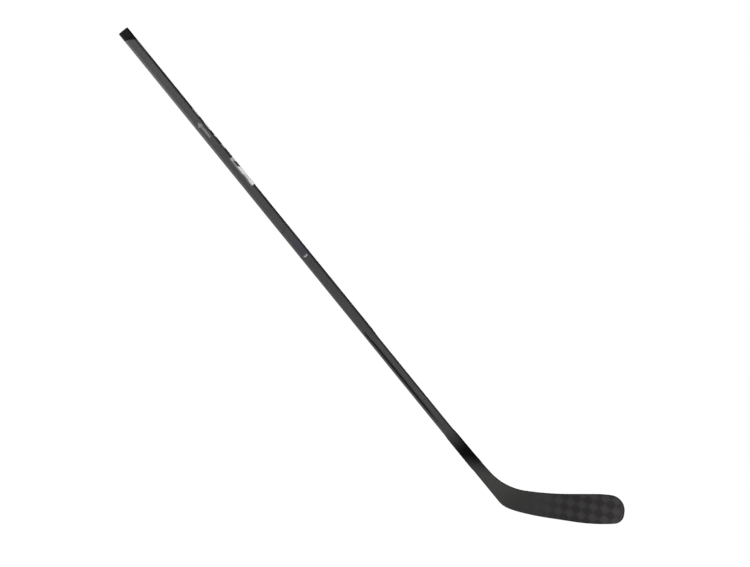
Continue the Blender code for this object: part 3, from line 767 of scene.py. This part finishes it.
def build_plug(look):
    shoulder = BUTT_Q - PLUG_HEAD
    tongue = plain_section(-SHAFT_WALL - TONGUE_CLEAR)
    rings = [ring_at(shoulder - PLUG_TONGUE, tongue), ring_at(shoulder, tongue)]
    for q, grow in PLUG_FOOT:
        rings.append(ring_at(shoulder + q, plain_section(grow)))
    for step in range(PLUG_EDGE_STEPS + 1):
        angle = step / PLUG_EDGE_STEPS * math.pi / 2.0
        q = BUTT_Q - PLUG_EDGE * (1.0 - math.sin(angle))
        rings.append(ring_at(q, plain_section(-PLUG_EDGE * (1.0 - math.cos(angle)))))
    for q, grow in PLUG_RECESS:
        rings.append(ring_at(BUTT_Q + q, plain_section(grow)))
    link("butt_plug", rings_mesh(rings), look, ["butt_end_plug"])


def hosel_edges(q):
    """The blade outline's lower and upper edge (t) where a plane across the shaft at q meets them."""
    edges = []
    for path, side in ((SOLE, -1.0), (TOP, 1.0)):
        line = path.at(path.length - PROBE) - path.at(path.length)
        direction = Vector((line.x, 0.0, line.y))
        slope = direction.dot(ACROSS) / direction.dot(UP)
        edges.append(side * SHAFT_WIDTH / 2.0 + slope * (q - JOINT_Q + JOINT_GLUE))
    return edges


def sleeve_section(q, grow):
    if q >= JOINT_Q:
        low, high = shaft_edges(q)
        half, corner = SHAFT_THICKNESS / 2.0, SHAFT_CORNER
    else:
        low, high = hosel_edges(q)
        axis = on_shaft(q, 0.0, 0.0)
        spot = Vector((axis.x, axis.z))
        half, corner = half_thickness(spot), corner_radius(spot)
    return rounded_section(low - grow, high + grow, half + grow, corner + grow)


def build_sleeve(look):
    """The wrap over the joint, thin at both ends and proud in the middle."""
    start, end = SLEEVE_SPAN
    outside, inside = [], []
    for i in range(SLEEVE_STEPS + 1):
        q = start + (end - start) * i / SLEEVE_STEPS
        feather = smooth(q - start, *SLEEVE_FEATHER_LOW) * (1.0 - smooth(q - end, *SLEEVE_FEATHER_HIGH))
        outside.append(ring_at(q, sleeve_section(q, SLEEVE_EDGE + (SLEEVE_GROW - SLEEVE_EDGE) * feather)))
        inside.append(ring_at(q, sleeve_section(q, SLEEVE_CLEAR)))
    rings = outside + inside[::-1]
    link("joint_wrap", rings_mesh(rings, closed=True), look, ["fusion_sleeve"])


# ---------------------------------------------------------------- blade pieces


def outline_stations():
    """(path, distance) all round the blade from the neck's lower edge to its upper one."""
    stations = [(SOLE, run_distance(u, TOE_LOW_S, HEEL_S, SOLE.length)) for u in section_shares()]
    for i in range(1, ACROSS_STEPS):
        along = i / ACROSS_STEPS * (TOE_LOW_S + TOE_HIGH_S)
        if along < TOE_LOW_S:
            stations.append((SOLE, TOE_LOW_S - along))
        else:
            stations.append((TOP, along - TOE_LOW_S))
    stations += [(TOP, run_distance(u, TOE_HIGH_S, THROAT_S, TOP.length)) for u in reversed(section_shares())]
    return stations


def edge_point(path, distance, angle, side):
    """A point on the rounded edge: angle 0 where it meets the face, 90 degrees on the edge's flat."""
    outer = path.at(distance)
    radius = corner_radius(outer)
    inset = radius * (1.0 - math.sin(angle))
    point = path.at(distance, inset)
    return on_blade(point, side * (half_thickness(point) - radius * (1.0 - math.cos(angle))))


def build_face(name, side, look, node):
    """A face out to the seam on its rounded edge, as one surface that Solidify thickens inwards."""
    bm = bmesh.new()
    grid = []
    for u in section_shares():
        row = []
        for j in range(ACROSS_STEPS + 1):
            point = planform(u, j / ACROSS_STEPS, SHELL_INSET)
            row.append(bm.verts.new(on_blade(point, side * half_thickness(point))))
        grid.append(row)
    quads = []
    for row, next_row in zip(grid, grid[1:]):
        for j in range(ACROSS_STEPS):
            quads.append((row[j], next_row[j], next_row[j + 1], row[j + 1]))
    loop = [row[0] for row in grid] + grid[-1][1:-1] + [row[-1] for row in reversed(grid)]
    for step in range(SEAM_STEPS + 1):
        angle = SEAM_ANGLE * step / SEAM_STEPS
        outer = [bm.verts.new(edge_point(*station, angle, side)) for station in outline_stations()]
        for i in range(len(loop) - 1):
            quads.append((outer[i], outer[i + 1], loop[i + 1], loop[i]))
        loop = outer
    for quad in quads:
        bm.faces.new(quad if side < 0.0 else quad[::-1])
    link(name, bm, look, [node], shell=SHELL)


def build_edge(look):
    """The band between the two faces' seams, all round from neck to neck, with an inner wall."""
    start = SEAM_ANGLE + SEAM_GAP
    angles = [start + (math.pi / 2.0 - start) * k / EDGE_STEPS for k in range(EDGE_STEPS + 1)]
    rings = []
    for path, distance in outline_stations():
        ring = [edge_point(path, distance, angle, -1.0) for angle in angles]
        ring += [edge_point(path, distance, angle, 1.0) for angle in reversed(angles)]
        inner = path.at(distance, 0.5 * SHELL_INSET)
        depth = half_thickness(inner) - EDGE_CLEAR - 0.3 * corner_radius(path.at(distance))
        ring += [on_blade(inner, depth), on_blade(inner, -depth)]
        rings.append(ring)
    link("blade_edge", rings_mesh(rings), look, ["blade_edge_rim"])


# ---------------------------------------------------------------- labels

FILM = 0.00012  # thickness of a printed film
FILM_LIFT = 0.00004  # between a film and the shaft
DECAL_STEPS = 16
POINTED_STEPS = 24
EDGE_MARK_STEPS = 28
EDGE_PANEL_STEPS = 60
ROW_LENGTH = 0.010  # about one step of a film along the shaft

# Along the shaft (q), and round it from the middle of a wide face (w).
ARROW_SPAN = (1.2448, 1.2565)
ARROW_MIDDLE = -0.0003
ARROW_HALF = 0.0066
ARROW_FOOT = 0.0004
MARK_BAR_SPAN = (1.2090, 1.2448)
MARK_BAR_W = (-0.0016, 0.0042)
BAND_SPAN = (0.8240, 0.9050)
BAND_W = (-0.0090, 0.0088)
BAND_SLANT = 0.006
BAND_FADE = (0.862, 0.905)  # where the panel's blue-black gives way to the shaft's grey
TICK_Q = 0.8298
TICK_MIDDLE = -0.0005
TICK_HALF = 0.0053
TICK_ARM = 0.0041
TICK_DIP = -0.0020
EDGE_PANEL_SPAN = (1.0490, 1.1360)
EDGE_PANEL_REACH = 0.0030  # where its film begins on each wide face
EDGE_PANEL_DIP = (1.066, 1.084)
EDGE_PANEL_UPPER = (1.104, 1.112)  # where its upper, grey part begins
SLASH_SPAN = (1.1200, 1.1375)
EDGE_MARKS = ((1.2600, 1.2924), (1.2140, 1.2474), (1.1920, 1.2080), (1.1580, 1.1780))
MARK_REACH = 0.0089
MARK_POINT = 0.008
# a light-grey film on the upper narrow side by the plug: a label, and a painted highlight on that side's
# rounding
SPEC_SPAN = (1.468, 1.514)
SPEC_REACH = 0.0088

LABEL_WHITE = (0.92, 0.92, 0.92)
LABEL_GREY = (0.140, 0.137, 0.137)
LABEL_LIGHT_GREY = (0.180, 0.177, 0.177)
TICK_GREY = (0.290, 0.290, 0.292)
# the film's light grey: label print and painted highlight
SPEC_GREY_AND_HIGHLIGHT = (0.34, 0.34, 0.345)
PANEL_BLUE = (0.0335, 0.0310, 0.0435)
PRINT_GREY = (0.31, 0.31, 0.31)
SLASH_BLACK = (0.03, 0.03, 0.03)


def wrap(w, grow):
    """(t, y) on the plain shaft, w metres round it from the middle of the forehand face, upwards."""
    if w > WRAP_MIDDLE:
        t, y = wrap(2.0 * WRAP_MIDDLE - w, grow)
        return t, -y
    if w <= FACE_FLAT:
        return w, -SHAFT_THICKNESS / 2.0 - grow
    if w <= FACE_FLAT + CORNER_RUN:
        angle = (w - FACE_FLAT) / SHAFT_CORNER
        reach = SHAFT_CORNER + grow
        return FACE_FLAT + reach * math.sin(angle), -SIDE_FLAT - reach * math.cos(angle)
    return SHAFT_WIDTH / 2.0 + grow, -SIDE_FLAT + (w - FACE_FLAT - CORNER_RUN)




def decal(name, w_span, q_low, q_high, look, nodes=(), backhand=False,
          steps=DECAL_STEPS, lift=FILM_LIFT):
    """A thin film laid on the shaft. q_low and q_high give its ends for each share of the way across."""
    columns = []
    for i in range(steps + 1):
        share = i / steps
        w = w_span[0] + (w_span[1] - w_span[0]) * share
        columns.append((w, q_low(share), q_high(share)))
    rows = max(2, int((columns[0][2] - columns[0][1]) / ROW_LENGTH))
    bm = bmesh.new()
    layers = []
    for grow in (lift, lift + FILM):
        layer = []
        for w, low, high in columns:
            t, y = wrap(w, grow)
            y = -y if backhand else y
            points = [on_shaft(low + (high - low) * k / rows, t, y) for k in range(rows + 1)]
            layer.append([bm.verts.new(point) for point in points])
        layers.append(layer)
    bottom, top = layers
    for i in range(steps):
        for k in range(rows):
            bm.faces.new((top[i][k], top[i + 1][k], top[i + 1][k + 1], top[i][k + 1]))
            bm.faces.new((bottom[i][k], bottom[i][k + 1], bottom[i + 1][k + 1], bottom[i + 1][k]))
        bm.faces.new((bottom[i][0], bottom[i + 1][0], top[i + 1][0], top[i][0]))
        bm.faces.new((bottom[i + 1][rows], bottom[i][rows], top[i][rows], top[i + 1][rows]))
    for k in range(rows):
        bm.faces.new((bottom[0][k + 1], bottom[0][k], top[0][k], top[0][k + 1]))
        bm.faces.new((bottom[steps][k], bottom[steps][k + 1], top[steps][k + 1], top[steps][k]))
    bmesh.ops.recalc_face_normals(bm, faces=bm.faces)
    link(name, bm, look, nodes)


def bar(name, w_span, q_span, slant, look, nodes=(), backhand=False, steps=DECAL_STEPS):
    """A straight film whose ends lean by slant."""
    low, high = q_span
    decal(name, w_span, lambda share: low + slant * share, lambda share: high + slant * share,
          look, nodes, backhand, steps)


def arrowhead(name, look, nodes, backhand):
    """A triangle that points up the shaft."""
    base, tip = ARROW_SPAN
    height = tip - base - ARROW_FOOT
    span = (ARROW_MIDDLE - ARROW_HALF, ARROW_MIDDLE + ARROW_HALF)
    decal(name, span, lambda share: base, lambda share: tip - height * abs(2.0 * share - 1.0),
          look, nodes, backhand, POINTED_STEPS)


def panel_tick(name, look, backhand):
    """A bar bent to a blunt V that points down the shaft, laid over the panel's lower end."""

    def lower(share):
        return TICK_Q - abs(share - 0.5) * 2.0 * TICK_DIP - TICK_ARM

    def upper(share):
        return lower(share) + TICK_ARM

    span = (TICK_MIDDLE - TICK_HALF, TICK_MIDDLE + TICK_HALF)
    lift = 2.0 * FILM_LIFT + FILM
    decal(name, span, lower, upper, look, (), backhand, POINTED_STEPS, lift)


def edge_mark(name, low_q, high_q, look, nodes):
    """A block on the upper narrow side, square at its upper end and pointed at its lower end."""
    span = (WRAP_MIDDLE - MARK_REACH, WRAP_MIDDLE + MARK_REACH)
    decal(name, span, lambda share: low_q + MARK_POINT * abs(2.0 * share - 1.0), lambda share: high_q,
          look, nodes, steps=EDGE_MARK_STEPS)


def build_labels():
    white = film_finish("label_white", LABEL_WHITE, 0.45, 0.06).material
    grey = film_finish("label_grey", LABEL_GREY, 0.5).material
    light_grey = film_finish("label_light_grey", LABEL_LIGHT_GREY, 0.5).material
    tick = film_finish("label_tick", TICK_GREY, 0.5).material
    panel = panel_finish()
    for backhand in (False, True):
        side = "backhand" if backhand else "forehand"
        arrowhead(side + "_mark", light_grey, [side + "_emblem"], backhand)
        bar(side + "_mark_bar", MARK_BAR_W, MARK_BAR_SPAN, 0.0, grey, (), backhand)
        bar(side + "_panel", BAND_W, BAND_SPAN, BAND_SLANT, panel,
            [side + "_band"], backhand)
        panel_tick(side + "_panel_tick", tick, backhand)
    span = (EDGE_PANEL_REACH, 2.0 * WRAP_MIDDLE - EDGE_PANEL_REACH)
    bar("edge_graphic", span, EDGE_PANEL_SPAN, 0.0, edge_panel_finish(), ["edge_panel"],
        steps=EDGE_PANEL_STEPS)
    for i, (low, high) in enumerate(EDGE_MARKS):
        nodes = ["edge_bar_label"] if i == 0 else ()
        edge_mark("edge_mark_%d" % (i + 1), low, high, white, nodes)
    # Label and painted highlight together: a light-grey film along the upper narrow side next to the plug.
    spec = film_finish("label_spec_and_highlight", SPEC_GREY_AND_HIGHLIGHT, 0.45, 0.2).material
    span = (WRAP_MIDDLE - SPEC_REACH, WRAP_MIDDLE + SPEC_REACH)
    bar("spec_film_and_highlight", span, SPEC_SPAN, 0.0, spec, ["spec_label"])


def panel_finish():
    """Blue-black, fading into the shaft's grey at its upper end."""
    g = film_finish("label_panel", PANEL_BLUE, 0.42, 0.3)
    q, _, _ = g.shaft_place()
    g.set(Base_Color=g.mix(g.ease(q, *BAND_FADE), PANEL_BLUE, SHAFT_GREY))
    g.shine(0.34)
    return g.material


def edge_panel_finish():
    """White, fading into the shaft's grey down the wide face, with a grey upper part and a dark slash."""
    g = film_finish("label_edge_panel", LABEL_WHITE, 0.45, 0.06)
    q, t, _ = g.shaft_place()
    dip = g.mul(g.window(q, *EDGE_PANEL_DIP, 0.004), 0.0012)
    upper = g.ease(q, *EDGE_PANEL_UPPER)
    shown = g.ease(g.sub(t, g.add(EDGE_PANEL_REACH, dip)), 0.0, g.blend(upper, 0.0100, 0.0052))
    print_tone = g.mix(g.mul(upper, g.ease(t, 0.0112, 0.0128, 1.0, 0.0)), LABEL_WHITE, PRINT_GREY)
    slash = g.mul(g.window(g.add(q, g.mul(t, 1.2)), *SLASH_SPAN, 0.0008), g.ease(t, 0.0066, 0.0092))
    colour = g.mix(slash, print_tone, SLASH_BLACK)
    g.set(Base_Color=g.mix(shown, SHAFT_GREY, colour))
    return g.material


# ---------------------------------------------------------------- stage, light, camera

VIEW_ROLL = math.radians(8.5)
VIEW_WIDTH = 1.87275  # how much the camera takes in at the stick
VIEW_CENTRE = Vector((-0.5342, 0.0, 0.5156))
LENS = 150.0
SENSOR = 36.0
FLOOR_REACH = 40.0
FLOOR_SEEN = (0.08, 0.985)  # (albedo, glow), to the camera
FLOOR_LIT = (0.70, 0.45)  # and for the light it sends up to the stick
WORLD_FALL = (("From Min", -0.6), ("From Max", 0.6), ("To Min", 1.0), ("To Max", 0.04))


def area(name, place, target, size, power, colour=(1.0, 1.0, 1.0)):
    lamp = bpy.data.lights.new(name, "AREA")
    lamp.shape = "RECTANGLE"
    lamp.size, lamp.size_y = size
    lamp.energy = power
    lamp.color = colour
    holder = bpy.data.objects.new(name, lamp)
    holder.location = place
    holder.rotation_euler = (Vector(target) - Vector(place)).to_track_quat("-Z", "Y").to_euler()
    bpy.context.scene.collection.objects.link(holder)


def switch(tree, for_camera, for_light, out):
    """Wires one shader for what the camera sees and another for the light it sends to the stick."""
    path = tree.nodes.new("ShaderNodeLightPath")
    mixer = tree.nodes.new("ShaderNodeMixShader")
    tree.links.new(path.outputs["Is Camera Ray"], mixer.inputs[0])
    tree.links.new(for_light, mixer.inputs[1])
    tree.links.new(for_camera, mixer.inputs[2])
    tree.links.new(mixer.outputs[0], out.inputs["Surface"])


def floor_finish():
    """Pale paper: the camera sees it nearly white with only a faint contact shadow."""
    look = bpy.data.materials.new("floor")
    look.use_nodes = True
    tree = look.node_tree
    tree.nodes.clear()
    out = tree.nodes.new("ShaderNodeOutputMaterial")
    shaders = []
    for albedo, glow in (FLOOR_SEEN, FLOOR_LIT):
        paper = tree.nodes.new("ShaderNodeBsdfPrincipled")
        paper.inputs["Base Color"].default_value = (albedo, albedo, albedo, 1.0)
        paper.inputs["Roughness"].default_value = 1.0
        paper.inputs["Specular IOR Level"].default_value = 0.0
        paper.inputs["Emission Color"].default_value = (1.0, 1.0, 1.0, 1.0)
        paper.inputs["Emission Strength"].default_value = glow
        shaders.append(paper.outputs[0])
    switch(tree, shaders[0], shaders[1], out)
    return look


def build_floor():
    bm = bmesh.new()
    bmesh.ops.create_grid(bm, x_segments=2, y_segments=2, size=FLOOR_REACH)
    mesh = bpy.data.meshes.new("floor")
    bm.to_mesh(mesh)
    bm.free()
    mesh.materials.append(floor_finish())
    floor = bpy.data.objects.new("floor", mesh)
    bpy.context.scene.collection.objects.link(floor)


def build_world():
    """White to the camera. Its light falls off across the shaft, so the upper narrow side stays dark."""
    world = bpy.data.worlds.new("studio")
    bpy.context.scene.world = world
    world.use_nodes = True
    tree = world.node_tree
    tree.nodes.clear()
    out = tree.nodes.new("ShaderNodeOutputWorld")
    place = tree.nodes.new("ShaderNodeTexCoord")
    across = tree.nodes.new("ShaderNodeVectorMath")
    across.operation = "DOT_PRODUCT"
    across.inputs[1].default_value = ACROSS
    ramp = tree.nodes.new("ShaderNodeMapRange")
    for key, number in WORLD_FALL:
        ramp.inputs[key].default_value = number
    seen = tree.nodes.new("ShaderNodeBackground")
    seen.inputs["Color"].default_value = (1.0, 1.0, 1.0, 1.0)
    lit = tree.nodes.new("ShaderNodeBackground")
    lit.inputs["Color"].default_value = (1.0, 1.0, 1.0, 1.0)
    tree.links.new(place.outputs["Generated"], across.inputs[0])
    tree.links.new(across.outputs["Value"], ramp.inputs["Value"])
    tree.links.new(ramp.outputs["Result"], lit.inputs["Strength"])
    switch(tree, seen.outputs[0], lit.outputs[0], out)


def build_lights():
    aim = (-0.5, 0.0, 0.45)
    area("front_left", (-3.4, -3.4, 0.9), aim, (2.4, 2.4), 105.0)
    area("front_right", (2.6, -3.6, 1.3), aim, (2.4, 2.4), 60.0)
    area("back", (-0.8, 4.6, 1.6), aim, (3.0, 2.4), 90.0)


def build_camera():
    data = bpy.data.cameras.new("camera")
    data.lens = LENS
    data.sensor_width = SENSOR
    data.clip_end = 100.0
    camera = bpy.data.objects.new("camera", data)
    distance = VIEW_WIDTH * LENS / SENSOR
    camera.location = VIEW_CENTRE - Vector((0.0, distance + SHAFT_THICKNESS / 2.0, 0.0))
    camera.rotation_euler = (math.pi / 2.0, -VIEW_ROLL, 0.0)
    bpy.context.scene.collection.objects.link(camera)
    bpy.context.scene.camera = camera


def finish_hidden():
    foam = foam_finish("core_foam", FOAM_CREAM)
    dense = foam_finish("heel_foam", FOAM_TAN)
    insert = film_finish("tenon_finish", INSERT_BLACK, 0.6).material
    rib = film_finish("bridge_finish", RIB_BLACK, 0.55).material
    looks = {"heel_core": dense, "lower_foam_core": foam, "upper_foam_core": foam,
             "core_bridge": rib, "tenon_insert": insert}
    for node, look in looks.items():
        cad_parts[node].data.materials.clear()
        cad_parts[node].data.materials.append(look)


build_shaft(shaft_finish())
build_plug(plug_finish())
build_sleeve(sleeve_finish())
build_face("blade_forehand", -1.0, blade_finish("blade_forehand_finish", False, False), "forehand_laminate")
build_face("blade_backhand", 1.0, blade_finish("blade_backhand_finish", True, False), "backhand_laminate")
build_edge(blade_finish("blade_edge_finish", False, True))
build_labels()
finish_hidden()
build_floor()
build_world()
build_lights()
build_camera()
bpy.context.scene.view_settings.view_transform = "Standard"
